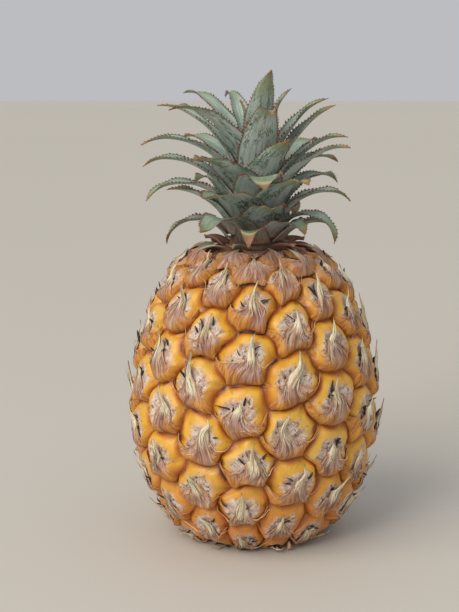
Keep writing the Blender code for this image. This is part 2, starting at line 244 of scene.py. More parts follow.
class Graph:
    """A node tree, with one method that adds any node and a few short names for the ones used most."""

    def __init__(self, tree):
        self.tree = tree

    def node(self, kind, settings=None, inputs=None, output=0):
        made = self.tree.nodes.new(kind)
        for name, value in (settings or {}).items():
            setattr(made, name, value)
        for name, value in (inputs or {}).items():
            if isinstance(value, Socket):
                self.tree.links.new(value.output, made.inputs[name])
            else:
                made.inputs[name].default_value = value
        return Socket(self, made.outputs[output])

    def maths(self, operation, *values):
        return self.node("ShaderNodeMath", {"operation": operation}, dict(enumerate(values)))

    def between(self, value, low, high):
        """0 below low, 1 above high, and smooth between them. Low may be the greater of the two."""
        return self.node(
            "ShaderNodeMapRange",
            {"interpolation_type": "SMOOTHSTEP"},
            {"Value": value, "From Min": low, "From Max": high},
        )

    def mix(self, mask, first, second):
        return self.node("ShaderNodeMix", {"data_type": "RGBA"}, {0: mask, 6: first, 7: second}, output=2)

    def blend(self, value, low, high, first, second):
        """From one paint to another as the value goes from low to high."""
        return self.mix(self.between(value, low, high), paint(first), paint(second))

    def over(self, colour, code, value, low, high, most=1.0):
        """The colour, with a paint laid over it as the value goes from low to high."""
        return self.mix(self.between(value, low, high) * most, colour, paint(code))

    def noise(self, vector, scale, detail=3.0, roughness=0.55):
        return self.node(
            "ShaderNodeTexNoise",
            inputs={"Vector": vector, "Scale": scale, "Detail": detail, "Roughness": roughness},
        )

    def spots(self, vector, scale, spread=1.0):
        """Distance to the nearest of scattered points."""
        inputs = {"Vector": vector, "Scale": scale, "Randomness": spread}
        return self.node("ShaderNodeTexVoronoi", inputs=inputs)

    def vector(self, x, y, z):
        return self.node("ShaderNodeCombineXYZ", inputs={"X": x, "Y": y, "Z": z})

    def parts(self, vector):
        split = self.tree.nodes.new("ShaderNodeSeparateXYZ")
        self.tree.links.new(vector.output, split.inputs[0])
        return [Socket(self, output) for output in split.outputs]

    def attribute(self, name, output=2):
        return self.node("ShaderNodeAttribute", {"attribute_name": name}, output=output)

    def place(self):
        """The point on the piece, in metres."""
        return self.node("ShaderNodeTexCoord", output=3)

    def bump(self, height, distance, strength=1.0):
        return self.node(
            "ShaderNodeBump", inputs={"Height": height, "Distance": distance, "Strength": strength}
        )


def paint(code):
    """A colour from its screen value, such as C8A040, in the linear light that shaders work in."""
    levels = [int(code[i : i + 2], 16) / 255 for i in (0, 2, 4)]
    linear = [level / 12.92 if level <= 0.04045 else ((level + 0.055) / 1.055) ** 2.4 for level in levels]
    return (*linear, 1.0)


def finish_of(graph, colour, roughness, normal=None, constants=None):
    """Closes a material: what varies feeds its shader, and what is the same all over is set on it."""
    shader = graph.tree.nodes["Principled BSDF"]
    for socket, value in (("Base Color", colour), ("Roughness", roughness), ("Normal", normal)):
        if isinstance(value, Socket):
            graph.tree.links.new(value.output, shader.inputs[socket])
        elif value is not None:
            shader.inputs[socket].default_value = value
    for socket, value in (constants or {}).items():
        shader.inputs[socket].default_value = value


def new_finish(name):
    material = bpy.data.materials.new(name)
    material.use_nodes = True
    return material, Graph(material.node_tree)


# ---------------------------------------------------------------- finishes


def rind_finish():
    """An eye's waxy rim, the papery patch in its middle, and the groove round it with painted shade in its
    bottom.
    """
    material, g = new_finish("rind")
    across, up, share = g.parts(g.attribute("eye", 1))
    seed = g.attribute("eye_seed")
    place = g.place()
    blotch = g.noise(place, 120.0, 3.0)
    fine = g.noise(place, 900.0, 4.0, 0.65)
    # the waxy rim
    ripe = g.blend(blotch, 0.36, 0.66, "E9B236", "D89826")
    ripe = g.over(ripe, "D9B454", seed, 0.5, 1.0, 0.5)
    ripe = g.over(ripe, "E6B440", up, 0.0, 0.8, 0.5)
    ripe = g.over(ripe, "CE862E", up, 0.1, -0.8, 0.65)
    # redder round the foot, and pinker on the shoulder
    _, _, z = g.parts(place)
    low = z + (blotch - 0.5) * 0.02
    ripe = g.over(ripe, "C4703A", low, 0.045, 0.010, 0.7)
    ripe = g.over(ripe, "C68A5E", low, 0.098, 0.116, 0.6)
    # the groove: orange, browner towards its bottom, partly its own colour and partly painted shade, with
    # near-black painted shade in patches where neighbours don't quite meet
    edge = share + (fine - 0.5) * 0.07
    ripe = g.over(ripe, "C27022", edge, 0.78, 0.94)
    ripe = g.over(ripe, "91501E", edge, 0.91, 1.0)
    # painted shade: near-black patches deep in the groove
    painted_groove_shade = g.between(edge, 0.90, 0.97) * g.between(g.noise(place, 90.0, 2.0), 0.56, 0.66)
    ripe = g.mix(painted_groove_shade * 0.85, ripe, paint("2B1712"))
    # the patch
    wander = g.noise(place, 260.0, 4.0, 0.7)
    reach = share + (wander - 0.5) * 0.40 + up * 0.08
    patch = g.between(reach, 0.74, 0.46)
    bearing = g.maths("ARCTAN2", up + 0.55, across)
    ray = g.noise(g.vector(bearing * 7.0, share * 1.6, seed * 40.0), 1.0, 4.0, 0.6)
    paper = g.blend(g.noise(place, 340.0, 4.0, 0.6), 0.36, 0.64, "BC9E94", "E8DACA")
    paper = g.over(paper, "C99A5A", blotch, 0.5, 0.72, 0.6)
    paper = g.over(paper, "755850", ray, 0.54, 0.68, 0.75)
    paper = g.over(paper, "E4D8C6", ray, 0.44, 0.34, 0.6)
    paper = g.over(paper, "F1E9DF", fine, 0.53, 0.64, 0.55)
    paper = g.over(paper, "8A5F62", fine, 0.44, 0.34, 0.45)
    clusters = g.between(g.noise(place, 200.0, 2.0), 0.42, 0.56)
    specks = g.between(g.noise(place, 800.0, 3.0), 0.55, 0.64) * clusters
    paper = g.mix(specks * 0.9, paper, paint("36222A"))
    colour = g.mix(patch * 0.95, ripe, paper)
    # small brown scars on the rim
    scars = g.between(g.noise(place, 620.0, 3.0), 0.62, 0.72) * g.between(share, 0.97, 0.8)
    colour = g.mix(scars * 0.5, colour, paint("8C4F22"))
    height = fine * 0.4 + patch * (ray * 1.6 + wander * 1.0) + blotch * 0.3
    roughness = patch * 0.40 + 0.33 + (fine - 0.5) * 0.12
    finish_of(
        g,
        colour,
        roughness,
        g.bump(height, 0.5 * MM, 0.7),
        {"Subsurface Weight": 0.10, "Subsurface Scale": 0.003, "Subsurface Radius": (1.0, 0.45, 0.15)},
    )
    return material


def bract_finish(name, mauve, ripeness, paleness, green=0.0):
    """A dry bract: fibrous pinkish brown, orange at its sides, with a cream keel and a thin pale edge.

    Mauve, ripeness, paleness and green say how strongly its mauve, its orange, its cream keel and a green
    outer part show.
    """
    material, g = new_finish(name)
    across, along, up = g.parts(g.attribute("bract", 1))
    seed = g.attribute("bract_seed")
    place = g.place()
    width = abs(across)
    lane = g.vector(across * 15.0, along * 1.7, seed * 60.0)
    streak = g.noise(lane, 1.0, 5.0, 0.62)
    hair = g.noise(g.vector(across * 46.0, along * 3.0, seed * 31.0), 1.0, 2.0)
    blotch = g.noise(place, 160.0, 3.0)
    colour = g.blend(blotch, 0.36, 0.66, "AE8474", "CCA890")
    colour = g.over(colour, "764C40", streak, 0.50, 0.66, 0.8)
    colour = g.over(colour, "CDB59B", streak, 0.46, 0.35, 0.7)
    colour = g.over(colour, "DDD0BA", hair, 0.62, 0.72, 0.7)
    colour = g.over(colour, "3E2625", hair, 0.36, 0.28, 0.8)
    middle = g.between(along, 0.62, 0.30) * g.between(width, 0.55, 0.30)
    stain = middle * g.between(blotch + streak, 0.85, 1.1)
    colour = g.mix(stain * 0.65, colour, paint("5F3836"))
    # orange where it runs into the groove and out to the sides
    bare = width * 0.75 + (1.0 - along) * 0.55 + (blotch - 0.5) * 0.5 + (streak - 0.5) * 0.35
    orange = g.blend(streak, 0.4, 0.6, "DC9A34", "BC742C")
    colour = g.mix(g.between(bare, 0.36, 0.70) * ripeness, colour, orange)
    colour = g.over(colour, "8C5630", streak, 0.56, 0.68, 0.5)
    colour = g.over(colour, "E8CFA0", hair, 0.60, 0.70, 0.35)
    colour = g.mix(g.between(blotch + width * 0.2, 0.35, 0.65) * mauve, colour, paint("8A5850"))
    leafy = g.blend(streak, 0.42, 0.60, "A3AC98", "66755A")
    colour = g.mix(g.between(along + (blotch - 0.5) * 0.5, 0.20, 0.50) * green, colour, leafy)
    # the cream keel and spine
    ragged = width + (streak - 0.5) * 0.22 + (hair - 0.5) * 0.20
    keel = g.between(ragged, 0.25, 0.13) * g.between(up + (hair - 0.5) * 0.8, -0.35, 0.05)
    cream = g.blend(streak, 0.4, 0.62, "F2EACB", "D0BE92")
    cream = g.over(cream, "C9AE80", up, 0.5, 1.05, 0.7)
    colour = g.mix(keel * paleness, colour, cream)
    # the thin dry edge
    rim = g.between(along, 0.90, 0.97) * g.between(width, 0.10, 0.22)
    thin = g.blend(blotch, 0.4, 0.6, "E2B27C", "CF8B5A")
    colour = g.mix(rim * 0.9, colour, thin)
    height = streak * 1.0 + hair * 0.6
    finish_of(g, colour, 0.72 + (streak - 0.5) * 0.3, g.bump(height, 0.5 * MM, 0.9))
    return material


def fibre_finish():
    """Fine hairs, from cream to dark brown."""
    material, g = new_finish("fibre")
    tone = g.attribute("tone")
    grain = g.noise(g.place(), 700.0, 2.0)
    mottled = tone + (grain - 0.5) * 0.25
    colour = g.blend(mottled, 0.15, 0.45, "4A2E28", "D29A74")
    colour = g.over(colour, "F0E8CC", mottled, 0.60, 0.85)
    finish_of(g, colour, 0.62 + (grain - 0.5) * 0.2)
    return material


def floret_finish():
    """Shrivelled flower remains, nearly black."""
    material, g = new_finish("dry_floret")
    grain = g.noise(g.place(), 900.0, 4.0, 0.6)
    colour = g.blend(grain, 0.4, 0.7, "1F1B22", "4E4246")
    finish_of(g, colour, 0.50 + grain * 0.3, g.bump(grain, 0.2 * MM, 0.8))
    return material


def leaf_finish():
    """A crown leaf: chalky grey-green outside, paler inside, with coloured margins and a dry tip."""
    material, g = new_finish("crown_leaf")
    across, share, side = g.parts(g.attribute("leaf", 1))
    seed = g.attribute("leaf_seed")
    age = g.attribute("leaf_age")
    place = g.place()
    inner = g.between(side, -0.2, 0.2)
    lane = g.vector(across * 9.0, share * 2.2, seed * 50.0)
    line = g.noise(lane, 1.0, 4.0, 0.6)
    fine_line = g.noise(g.vector(across * 34.0, share * 4.0, seed * 20.0), 1.0, 2.0)
    rub = g.noise(g.vector(across * 2.2, share * 4.5, seed * 70.0), 1.0, 5.0, 0.68)
    cloud = g.noise(place, 70.0, 3.0)
    outside = g.blend(cloud, 0.35, 0.65, "BEC5BD", "A9B4AC")
    outside = g.over(outside, "808E80", line, 0.45, 0.65, 0.6)
    outside = g.over(outside, "B9C2B8", fine_line, 0.55, 0.70, 0.35)
    banded = g.noise(g.vector(across * 3.0, share * 26.0, seed * 11.0), 1.0, 3.0, 0.6)
    outside = g.over(outside, "A9B3A8", banded, 0.52, 0.68, 0.45)
    flecks = g.noise(g.vector(across * 16.0, share * 30.0, seed * 90.0), 1.0, 3.0, 0.6)
    worn = g.between(rub, 0.47, 0.57) * g.between(flecks, 0.42, 0.56) * g.between(share, 0.05, 0.25)
    rubbed = g.blend(fine_line, 0.4, 0.6, "31452C", "4E6642")
    outside = g.mix(worn * 0.9, outside, rubbed)
    inside = g.blend(line, 0.42, 0.62, "BCC9BC", "93A99D")
    inside = g.mix(worn * 0.5, inside, paint("6C8468"))
    colour = g.mix(inner, outside, inside)
    # yellow-green and then reddish towards the margins
    edge = abs(across) + (cloud - 0.5) * 0.16
    colour = g.over(colour, "7F8758", edge, 0.84, 0.99, 0.6)
    colour = g.over(colour, "8F7C68", edge, 0.97, 1.03, 0.5)
    # old leaves are duller, and brown and papery where they leave the crown's foot
    colour = g.mix(age * 0.5, colour, paint("65665A"))
    foot = g.between(share + (cloud - 0.5) * 0.2, 0.30, 0.10)
    papery = g.blend(fine_line, 0.42, 0.60, "7C5248", "B79A86")
    colour = g.mix(foot * (age * 0.75 + 0.15), colour, papery)
    # green, then orange, then dry and pale towards the tip
    dryness = g.attribute("leaf_dry")
    tip = share + (cloud - 0.5) * 0.12 + age * 0.06 + dryness
    colour = g.over(colour, "7F8A4C", tip, 0.66, 0.88, 0.6)
    colour = g.mix(g.between(tip, 0.92, 1.0) * dryness * 5.0, colour, paint("D8CFA6"))
    dry = g.blend(seed, 0.2, 0.8, "8A6A44", "B07C3E")
    tip = tip - dryness * 0.45
    colour = g.mix(g.between(tip, 0.88, 0.97) * 0.85, colour, dry)
    colour = g.over(colour, "9B7358", tip, 0.96, 1.02, 0.8)
    height = line * 0.8 + fine_line * 0.45 + cloud * 0.3
    roughness = 0.60 + (rub - 0.5) * 0.3 - worn * 0.12
    finish_of(g, colour, roughness, g.bump(height, 0.30 * MM, 0.7), {"Specular IOR Level": 0.35})
    return material


def tooth_finish():
    """The small hooked teeth along a leaf's margins: red-brown, mottled with a greyer brown."""
    material, g = new_finish("leaf_tooth")
    grain = g.noise(g.place(), 45.0, 2.0)
    colour = g.blend(grain, 0.40, 0.60, "8A3A3C", "75604E")
    finish_of(g, colour, 0.5 + (grain - 0.5) * 0.2)
    return material


def stem_finish():
    """The crown's stem: pale and fibrous, and brown where it shows at its foot."""
    material, g = new_finish("crown_stem")
    place = g.place()
    grain = g.noise(place, 300.0, 5.0, 0.6)
    colour = g.blend(grain, 0.35, 0.65, "A79F72", "C9C29A")
    _, _, z = g.parts(place)
    dry = g.between(z + grain * 2 * MM, CROWN_FOOT + 9 * MM, CROWN_FOOT + 5 * MM)
    colour = g.mix(dry, colour, paint("735B48"))
    finish_of(g, colour, 0.70 + (grain - 0.5) * 0.2, g.bump(grain, 0.3 * MM, 0.7))
    return material


def stalk_finish():
    """The cut end of the stalk: a pale pith, brown fibres and a dry brown rind."""
    material, g = new_finish("cut_stalk")
    place = g.place()
    x, y, _ = g.parts(place)
    out = (x * x + y * y) ** 0.5 / STALK_RADIUS
    fibre_ends = g.spots(place, 900.0)
    grain = g.noise(place, 420.0, 4.0, 0.6)
    colour = g.blend(out + (grain - 0.5) * 0.3, 0.35, 0.9, "C9AE7A", "8A6238")
    colour = g.over(colour, "6B4526", fibre_ends, 0.35, 0.15, 0.7)
    colour = g.over(colour, "5A3A22", out, 0.93, 1.02)
    finish_of(g, colour, 0.78 + (grain - 0.5) * 0.2, g.bump(grain + fibre_ends, 0.5 * MM, 0.8))
    return material


def scar_finish():
    """The dry skin between the eyes and the stalk, and between the eyes and the crown."""
    material, g = new_finish("dry_skin")
    place = g.place()
    grain = g.noise(place, 260.0, 5.0, 0.65)
    blotch = g.noise(place, 90.0, 3.0)
    colour = g.blend(grain, 0.38, 0.62, "7A5140", "B08A6C")
    colour = g.over(colour, "9C7440", blotch, 0.45, 0.62, 0.6)
    finish_of(g, colour, 0.75 + (grain - 0.5) * 0.2, g.bump(grain + blotch * 0.5, 0.8 * MM, 0.9))
    return material


def floor_finish():
    material, g = new_finish("floor")
    cloud = g.noise(g.place(), 1.2, 2.0)
    finish_of(g, g.mix(cloud, paint("CBC6BC"), paint("CFCAC0")), 0.65)
    return material


# ---------------------------------------------------------------- meshes


def write_attributes(mesh, attributes):
    """Adds named lists of numbers or vectors to a mesh, one for each vertex."""
    for key, values in attributes.items():
        values = np.asarray(values, np.float32)
        kind, slot = ("FLOAT", "value") if values.ndim == 1 else ("FLOAT_VECTOR", "vector")
        mesh.attributes.new(key, kind, "POINT").data.foreach_set(slot, values.ravel())


def new_piece(name, verts, faces, finishes, attributes=None):
    """A mesh object at the origin."""
    mesh = bpy.data.meshes.new(name)
    mesh.from_pydata([tuple(v) for v in verts], [], faces)
    for finish in finishes:
        mesh.materials.append(finish)
    write_attributes(mesh, attributes or {})
    mesh.shade_smooth()
    mesh.update()
    piece = bpy.data.objects.new(name, mesh)
    bpy.context.scene.collection.objects.link(piece)
    return piece


def evaluated_mesh(piece):
    """The piece's mesh with its modifiers in it, as a plain mesh."""
    seen = piece.evaluated_get(bpy.context.evaluated_depsgraph_get())
    mesh = bpy.data.meshes.new_from_object(seen)
    mesh.name = piece.name
    return mesh


def turn_outwards(piece):
    bm = bmesh.new()
    bm.from_mesh(piece.data)
    bmesh.ops.recalc_face_normals(bm, faces=bm.faces)
    bm.to_mesh(piece.data)
    bm.free()
    return piece


def thicken(piece, thickness, offset=0.0):
    shell = piece.modifiers.new("thickness", "SOLIDIFY")
    shell.thickness = thickness
    shell.offset = offset
    shell.use_rim = True
    mesh = evaluated_mesh(piece)
    piece.modifiers.clear()
    piece.data = mesh
    return piece


def add_to_body(piece, slot, *nodes):
    """Fixes a piece to the body. Nothing of it reaches below the surface that the fruit stands on."""
    places = np.empty(len(piece.data.vertices) * 3, np.float32)
    piece.data.vertices.foreach_get("co", places)
    places[2::3] = places[2::3].clip(0.0)
    piece.data.vertices.foreach_set("co", places)
    piece.data.update()
    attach(piece, "root")
    if nodes:
        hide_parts(*nodes)
    return piece


# ---------------------------------------------------------------- what repeats: strands and teeth


def new_tree(name, sizes):
    """A geometry tree with inputs given as {name: kind}. Returns it, its graph and its inputs by name."""
    tree = bpy.data.node_groups.new(name, "GeometryNodeTree")
    tree.interface.new_socket("Geometry", in_out="INPUT", socket_type="NodeSocketGeometry")
    for size, kind in sizes.items():
        tree.interface.new_socket(size, in_out="INPUT", socket_type=kind)
    tree.interface.new_socket("Geometry", in_out="OUTPUT", socket_type="NodeSocketGeometry")
    graph = Graph(tree)
    source = tree.nodes.new("NodeGroupInput")
    return tree, graph, {output.name: Socket(graph, output) for output in source.outputs if output.name}


def close_tree(graph, geometry, finish):
    """Every tree ends in real geometry with its finish on it."""
    real = graph.node("GeometryNodeRealizeInstances", inputs={0: geometry})
    done = graph.node("GeometryNodeSetMaterial", inputs={"Geometry": real, "Material": finish})
    end = graph.tree.nodes.new("NodeGroupOutput")
    graph.tree.links.new(done.output, end.inputs[0])


def named(graph, attribute, kind="FLOAT"):
    return graph.node("GeometryNodeInputNamedAttribute", {"data_type": kind}, {"Name": attribute})


def strand_tree():
    """Makes each path a strand that is as thick as its points say, round or flattened."""
    tree, g, given = new_tree(
        "strands", {"Sides": "NodeSocketInt", "Flatness": "NodeSocketFloat", "Finish": "NodeSocketMaterial"}
    )
    paths = g.node("GeometryNodeMeshToCurve", inputs={"Mesh": given["Geometry"]})
    ring = g.node("GeometryNodeCurvePrimitiveCircle", inputs={"Resolution": given["Sides"], "Radius": 1.0})
    squash = g.vector(1.0, given["Flatness"], 1.0)
    ring = g.node("GeometryNodeTransform", inputs={"Geometry": ring, "Scale": squash})
    strands = g.node(
        "GeometryNodeCurveToMesh",
        inputs={"Curve": paths, "Profile Curve": ring, "Fill Caps": True, "Scale": named(g, "thickness")},
    )
    close_tree(g, strands, given["Finish"])
    return tree


def tooth_tree():
    """Sets hooked teeth along each path, aimed as its points say and smaller towards its end."""
    tree, g, given = new_tree(
        "teeth",
        {
            "Spacing": "NodeSocketFloat",
            "Length": "NodeSocketFloat",
            "Seed": "NodeSocketInt",
            "Finish": "NodeSocketMaterial",
        },
    )
    paths = g.node("GeometryNodeMeshToCurve", inputs={"Mesh": given["Geometry"]})
    points = g.node(
        "GeometryNodeResampleCurve", {"mode": "LENGTH"}, {"Curve": paths, "Length": given["Spacing"]}
    )
    tooth = g.node(
        "GeometryNodeMeshCone",
        {"fill_type": "NGON"},
        {"Vertices": 4, "Radius Top": 0.0, "Radius Bottom": 0.36, "Depth": 1.0},
    )
    aimed = g.node(
        "FunctionNodeAlignRotationToVector", {"axis": "Z"}, {"Vector": named(g, "aim", "FLOAT_VECTOR")}
    )
    chance = g.node(
        "FunctionNodeRandomValue", {"data_type": "FLOAT"}, {2: 0.55, 3: 1.1, "Seed": given["Seed"]}, output=1
    )
    size = chance * given["Length"] * named(g, "size")
    teeth = g.node(
        "GeometryNodeInstanceOnPoints",
        inputs={"Points": points, "Instance": tooth, "Rotation": aimed, "Scale": size},
    )
    close_tree(g, teeth, given["Finish"])
    return tree


def grow(name, tree, paths, attributes, given):
    """Runs a tree on paths, given as lists of points, and returns the mesh that it makes."""
    mesh = bpy.data.meshes.new(name)
    verts, edges = [], []
    for path in paths:
        first = len(verts)
        verts += [tuple(point) for point in path]
        edges += [(i, i + 1) for i in range(first, len(verts) - 1)]
    mesh.from_pydata(verts, edges, [])
    write_attributes(mesh, attributes)
    piece = bpy.data.objects.new(name, mesh)
    bpy.context.scene.collection.objects.link(piece)
    modifier = piece.modifiers.new("grow", "NODES")
    modifier.node_group = tree
    for item in tree.interface.items_tree:
        if item.in_out == "INPUT" and item.name in given:
            modifier[item.identifier] = given[item.name]
    made = evaluated_mesh(piece)
    bpy.data.objects.remove(piece)
    return made


def piece_of(mesh, name):
    piece = bpy.data.objects.new(name, mesh)
    bpy.context.scene.collection.objects.link(piece)
    mesh.shade_smooth()
    return piece


# ---------------------------------------------------------------- the skin's envelope


def smooth_profile(stations):
    """Arc lengths, radii and heights along a Catmull-Rom curve through the stations."""
    points = [Vector(station) * MM for station in stations]
    ends = [points[0] * 2 - points[1]] + points + [points[-1] * 2 - points[-2]]
    line = []
    for a, b, c, d in zip(ends, ends[1:], ends[2:], ends[3:]):
        for step in range(PROFILE_STEPS):
            t = step / PROFILE_STEPS
            square = (2 * a - 5 * b + 4 * c - d) * t**2
            cube = (3 * b - a - 3 * c + d) * t**3
            line.append(0.5 * (2 * b + (c - a) * t + square + cube))
    line.append(points[-1])
    line = np.array(line)
    arcs = np.concatenate([[0.0], np.cumsum(np.linalg.norm(np.diff(line, axis=0), axis=1))])
    return arcs, line[:, 0], line[:, 1]


ARCS, RADII, HEIGHTS = smooth_profile(SKIN_PROFILE_MM)


def envelope(arc):
    """Radius, height and outward normal at arc lengths. Past its ends the envelope runs on straight."""
    low = np.clip(np.searchsorted(ARCS, arc, side="right") - 1, 0, len(ARCS) - 2)
    span = ARCS[low + 1] - ARCS[low]
    slope_r = (RADII[low + 1] - RADII[low]) / span
    slope_z = (HEIGHTS[low + 1] - HEIGHTS[low]) / span
    past = arc - ARCS[low]
    return RADII[low] + slope_r * past, HEIGHTS[low] + slope_z * past, slope_z, -slope_r


def skin_points(azimuth, arc, lift):
    """Points over the skin at azimuths and arc lengths, lifted off its envelope and led a little astray."""
    arc = np.asarray(arc, float)
    stray = np.sin(17 * azimuth + arc * 330) + np.sin(13 * azimuth - arc * 410 + 1.3)
    climb = np.sin(15 * azimuth - arc * 360 + 2.1) + np.sin(19 * azimuth + arc * 290 + 0.4)
    azimuth = azimuth + stray * WANDER / WIDEST_RADIUS
    arc = arc + climb * WANDER
    radius, height, normal_r, normal_z = envelope(arc)
    radius = radius + normal_r * lift
    height = np.maximum(height + normal_z * lift, 0.0)
    return np.stack([radius * np.sin(azimuth), -radius * np.cos(azimuth), height], axis=-1)


def eye_arcs(first, last):
    """Arc length of each eye's centre, over a range of eyes that may run past those the fruit has."""
    arcs = {0: FIRST_EYE_ARC}
    for index in range(last):
        radius = max(float(envelope(np.array(arcs[index]))[0]), STALK_RADIUS)
        arcs[index + 1] = arcs[index] + EYE_RISE * (radius / WIDEST_RADIUS) ** EYE_RISE_TAPER
    for index in range(0, first, -1):
        radius = float(envelope(np.array(arcs[index]))[0])
        arcs[index - 1] = arcs[index] - EYE_RISE * (radius / WIDEST_RADIUS) ** EYE_RISE_TAPER
    return arcs


EYE_ARCS = eye_arcs(-EYES_UP - FOOT_BRACTS, EYE_COUNT + SHOULDER_BRACTS + EYES_UP)


class Eye:
    """One fruitlet's six-sided cell, in a flat map of metres across and along the skin round its centre."""

    def __init__(self, index):
        self.index = index
        self.arc = EYE_ARCS[index]
        self.azimuth = self.azimuth_of(index)
        self.radius = float(envelope(np.array(self.arc))[0])
        steps = (-EYES_LEFT, -EYES_UP, -EYES_RIGHT, EYES_LEFT, EYES_UP, EYES_RIGHT)
        centres = []
        for step in steps:
            turn = math.remainder(self.azimuth_of(index + step) - self.azimuth, 2 * math.pi)
            centres.append((turn * self.radius, EYE_ARCS[index + step] - self.arc))
        centres = np.array(centres)
        self.corners = (centres + np.roll(centres, -1, axis=0)) / 3
        ends = np.roll(self.corners, -1, axis=0)
        sides = ends - self.corners
        self.normals = np.stack([sides[:, 1], -sides[:, 0]], axis=1)
        self.normals /= np.linalg.norm(self.normals, axis=1)[:, None]
        self.depths = (self.normals * self.corners).sum(1)
        turned = np.sign(self.depths)
        self.normals *= turned[:, None]
        self.depths *= turned
        self.chance = random.Random(1000 + index)
        self.seed = self.chance.random()
        self.half_width = 0.5 * (self.reach(0.0) + self.reach(math.pi))
        self.half_height = 0.5 * (self.reach(math.pi / 2) + self.reach(-math.pi / 2))

    @staticmethod
    def azimuth_of(index):
        return FIRST_EYE_AZIMUTH + index * EYE_DIVERGENCE + math.radians(SPIRAL_TURNS[index % EYES_LEFT])

    def share(self, points):
        """0 at the eye's centre and 1 on its outline."""
        return ((points @ self.normals.T) / self.depths).max(-1)

    def reach(self, angle):
        """Distance from the centre to the outline in a direction."""
        direction = np.array([math.cos(angle), math.sin(angle)])
        return float(1.0 / self.share(direction))

    def outline(self):
        """Points round the outline, and how near each is to a corner."""
        points, corner = [], []
        for start, end in zip(self.corners, np.roll(self.corners, -1, axis=0)):
            for step in range(EDGE_STEPS):
                t = step / EDGE_STEPS
                points.append(start + (end - start) * t)
                corner.append(abs(2 * t - 1) ** 2.2)
        return np.array(points), np.array(corner)

    def place(self, points, lift):
        return skin_points(self.azimuth + points[..., 0] / self.radius, self.arc + points[..., 1], lift)


def smooth_step(value, low, high):
    t = np.clip((value - low) / (high - low), 0.0, 1.0)
    return t * t * (3 - 2 * t)


def eye_lift(eye, points, share, corner=0.0):
    """Height of an eye's surface over the skin's envelope: a plump rim round a sunken patch."""
    rounded = share * (1 + CORNER_ROUND * corner * np.minimum(1.0, (1 - share) / 0.15))
    fall = np.clip(rounded, 0.0, 1.0) ** GROOVE_POWER
    lower = points[..., 1] / eye.half_height
    patch = 1 - smooth_step(eye.share(points + (0.0, 0.10 * eye.half_height)), *PATCH_SHARES)
    tilt = -lower * EYE_TILT * (1 - fall)
    dip = PATCH_DIP * patch * (0.7 + 0.6 * eye.seed)
    return -GROOVE_DEPTH * fall * (1 + CORNER_DEPTH * corner) - dip + tilt


# ---------------------------------------------------------------- the fruit


def build_skin(finishes):
    """The fruit's skin: every eye as rings round its centre, closed over the shoulder and round the stalk."""
    verts, faces, maps, seeds = [], [], [], []
    sectors = 6 * EDGE_STEPS
    for index in range(EYE_COUNT):
        eye = Eye(index)
        outline, corner = eye.outline()
        first = len(verts)
        verts.append(eye.place(np.zeros(2), eye_lift(eye, np.zeros(2), 0.0)))
        maps.append((0.0, 0.0, 0.0))
        seeds.append(eye.seed)
        for share in EYE_RINGS:
            flat = outline * share
            lift = eye_lift(eye, flat, np.full(sectors, share), corner)
            points = eye.place(flat, lift)
            if share < 1.0:
                points += lumps(points, share)
            verts += list(points)
            maps += [(x / eye.half_width, y / eye.half_height, share) for x, y in flat]
            seeds += [eye.seed] * sectors
        for i in range(sectors):
            faces.append((first, first + 1 + i, first + 1 + (i + 1) % sectors))
        for ring in range(len(EYE_RINGS) - 1):
            inner = first + 1 + ring * sectors
            for i in range(sectors):
                j = (i + 1) % sectors
                faces.append((inner + i, inner + sectors + i, inner + sectors + j, inner + j))
    piece = new_piece("fruit_skin", verts, faces, finishes, {"eye": maps, "eye_seed": seeds})
    bm = bmesh.new()
    bm.from_mesh(piece.data)
    bmesh.ops.remove_doubles(bm, verts=bm.verts, dist=0.02 * MM)
    loops = sorted(open_loops(bm), key=lambda loop: sum(v.co.z for v in loop) / len(loop))
    close_end(bm, loops[0], STALK_RINGS)
    close_end(bm, loops[1], SEAT_RINGS)
    bmesh.ops.recalc_face_normals(bm, faces=bm.faces)
    bm.to_mesh(piece.data)
    bm.free()
    piece.data.shade_smooth()
    return add_to_body(piece, "fruit_skin", "fruit")


def lumps(points, share):
    """Unevenness of the skin, outwards from the axis: slight on the rim, and wrinkled in the patch."""
    wrinkled = float(smooth_step(share, 0.75, 0.5)) * float(smooth_step(share, 0.0, 0.15))
    out = []
    for point in points:
        broad = noise.noise(Vector(point) * 330.0) * SKIN_LUMPS
        out.append(broad + noise.noise(Vector(point) * 800.0) * PATCH_WRINKLES * wrinkled)
    direction = points * (1.0, 1.0, 0.0)
    direction /= np.maximum(np.linalg.norm(direction, axis=1), 1e-6)[:, None]
    return direction * np.array(out)[:, None]


def open_loops(bm):
    """The open edge loops, as lists of vertices in order."""
    left = {edge for edge in bm.edges if edge.is_boundary}
    loops = []
    while left:
        edge = left.pop()
        loop = [edge.verts[0], edge.verts[1]]
        while True:
            following = next((e for e in loop[-1].link_edges if e in left), None)
            if following is None:
                break
            left.remove(following)
            loop.append(following.other_vert(loop[-1]))
        loops.append(loop[:-1] if loop[0] == loop[-1] else loop)
    return loops


def close_end(bm, loop, rings):
    """Joins an open end of the skin to rings of (radius, height, finish), and fills the last one flat."""
    first_azimuth = math.atan2(loop[0].co.x, -loop[0].co.y)
    turned = sum(
        math.remainder(math.atan2(b.co.x, -b.co.y) - math.atan2(a.co.x, -a.co.y), 2 * math.pi)
        for a, b in zip(loop, loop[1:])
    )
    step = math.copysign(2 * math.pi / len(loop), turned)
    before = loop
    for radius, height, finish in rings:
        after = []
        for i in range(len(loop)):
            azimuth = first_azimuth + i * step
            after.append(bm.verts.new((radius * math.sin(azimuth), -radius * math.cos(azimuth), height)))
        for i in range(len(loop)):
            j = (i + 1) % len(loop)
            bm.faces.new((before[i], before[j], after[j], after[i])).material_index = finish
        before = after
    bm.faces.new(before).material_index = rings[-1][2]


# ---------------------------------------------------------------- the bracts on the eyes


